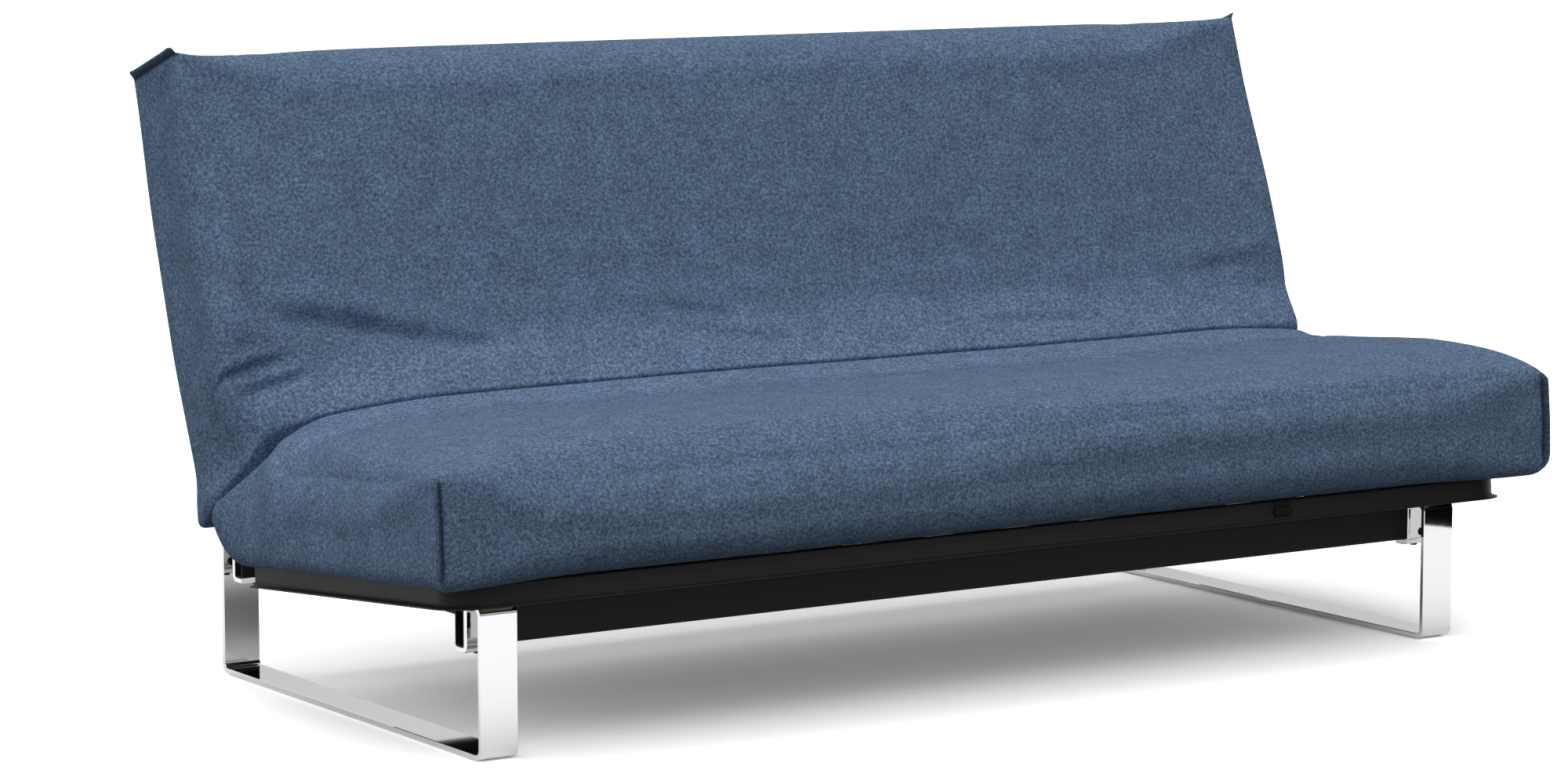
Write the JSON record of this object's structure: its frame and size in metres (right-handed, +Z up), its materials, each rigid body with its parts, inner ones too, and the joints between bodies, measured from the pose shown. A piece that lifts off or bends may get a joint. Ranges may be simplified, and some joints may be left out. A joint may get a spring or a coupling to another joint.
{
  "type": "futon sofa bed",
  "caption": "Sofa bed with a folded blue mattress on two slatted platforms that meet at ratchet hinges; the back folds down flat over chromed sled legs.",
  "frame": {"origin": "centre of the whole sofa's box, on the floor", "axes": "+X towards the sitter's left, -Y is the front, +Z up; stored as a sofa with the back raised"},
  "size_m": [2, 0.9843, 0.9545],
  "materials": {
    "chrome": "polished",
    "black_frame": "satin",
    "zinc": "satin",
    "beech": "satin",
    "nylon": "matte",
    "rubber": "matte",
    "felt": "matte",
    "blue_tweed": "matte",
    "foam": "matte",
    "pocket_cloth": "matte",
    "webbing": "matte"
  },
  "bodies": {
    "base": {"sled_leg_right": "chrome", "sled_leg_left": "chrome", "front_beam": "black_frame", "rear_beam": "black_frame", "leg_bolts": "black_frame", "side_plate_right": "black_frame", "side_plate_left": "black_frame", "side_plate_bolts": "zinc", "pivot_bracket_right": "black_frame", "pivot_bracket_left": "black_frame", "pivot_bracket_bolts": "zinc", "seat_rest_pads": "rubber", "rear_buffers": "rubber", "floor_glides": "felt"},
    "seat": {"seat_front_rail": "black_frame", "seat_side_rail_right": "black_frame", "seat_side_rail_left": "black_frame", "seat_rear_rail": "black_frame", "seat_bearer_right": "black_frame", "seat_bearer_left": "black_frame", "seat_slats": "beech", "seat_slat_holders": "nylon", "hinge_cheeks_right": "zinc", "hinge_cheeks_left": "zinc", "hinge_pins": "zinc", "pawl_pins": "zinc", "hinge_stop_pins": "zinc", "hinge_washers": "zinc", "hinge_bolts": "zinc", "seat_pivot_pins": "zinc", "retaining_strap": "webbing", "seat_cover": "blue_tweed", "seat_foam": "foam", "seat_spring_core": "pocket_cloth"},
    "back": {"back_top_rail": "black_frame", "back_side_rail_right": "black_frame", "back_side_rail_left": "black_frame", "back_lower_rail": "black_frame", "back_bearer_right": "black_frame", "back_bearer_left": "black_frame", "back_slats": "beech", "back_slat_holders": "nylon", "ratchet_arm_right": "zinc", "ratchet_arm_left": "zinc", "ratchet_arm_bolts": "zinc", "back_cover": "blue_tweed", "back_foam": "foam", "back_spring_core": "pocket_cloth"},
    "pawl_right": {"pawl_right": "zinc"},
    "pawl_left": {"pawl_left": "zinc"}
  },
  "joints": [
    {"name": "back_recline", "type": "hinge", "parent": "seat", "child": "back", "pos_m": [0, 0.25431, 0.18458], "axis": [-1, 0, 0], "range_deg": [0, 77]},
    {"name": "seat_level", "type": "hinge", "parent": "base", "child": "seat", "pos_m": [0, -0.33345, 0.236], "axis": [1, 0, 0], "range_deg": [0, 5]},
    {"name": "pawl_swing_right", "type": "hinge", "parent": "seat", "child": "pawl_right", "pos_m": [0.8, 0.19365, 0.19119], "axis": [1, 0, 0], "range_deg": [0, 9]},
    {"name": "pawl_swing_left", "type": "hinge", "parent": "seat", "child": "pawl_left", "pos_m": [-0.8, 0.19365, 0.19119], "axis": [1, 0, 0], "range_deg": [0, 9]}
  ],
  "couplings": [
    {"joint": "seat_level", "follows": "back_recline", "ratio": 0.064935}
  ]
}
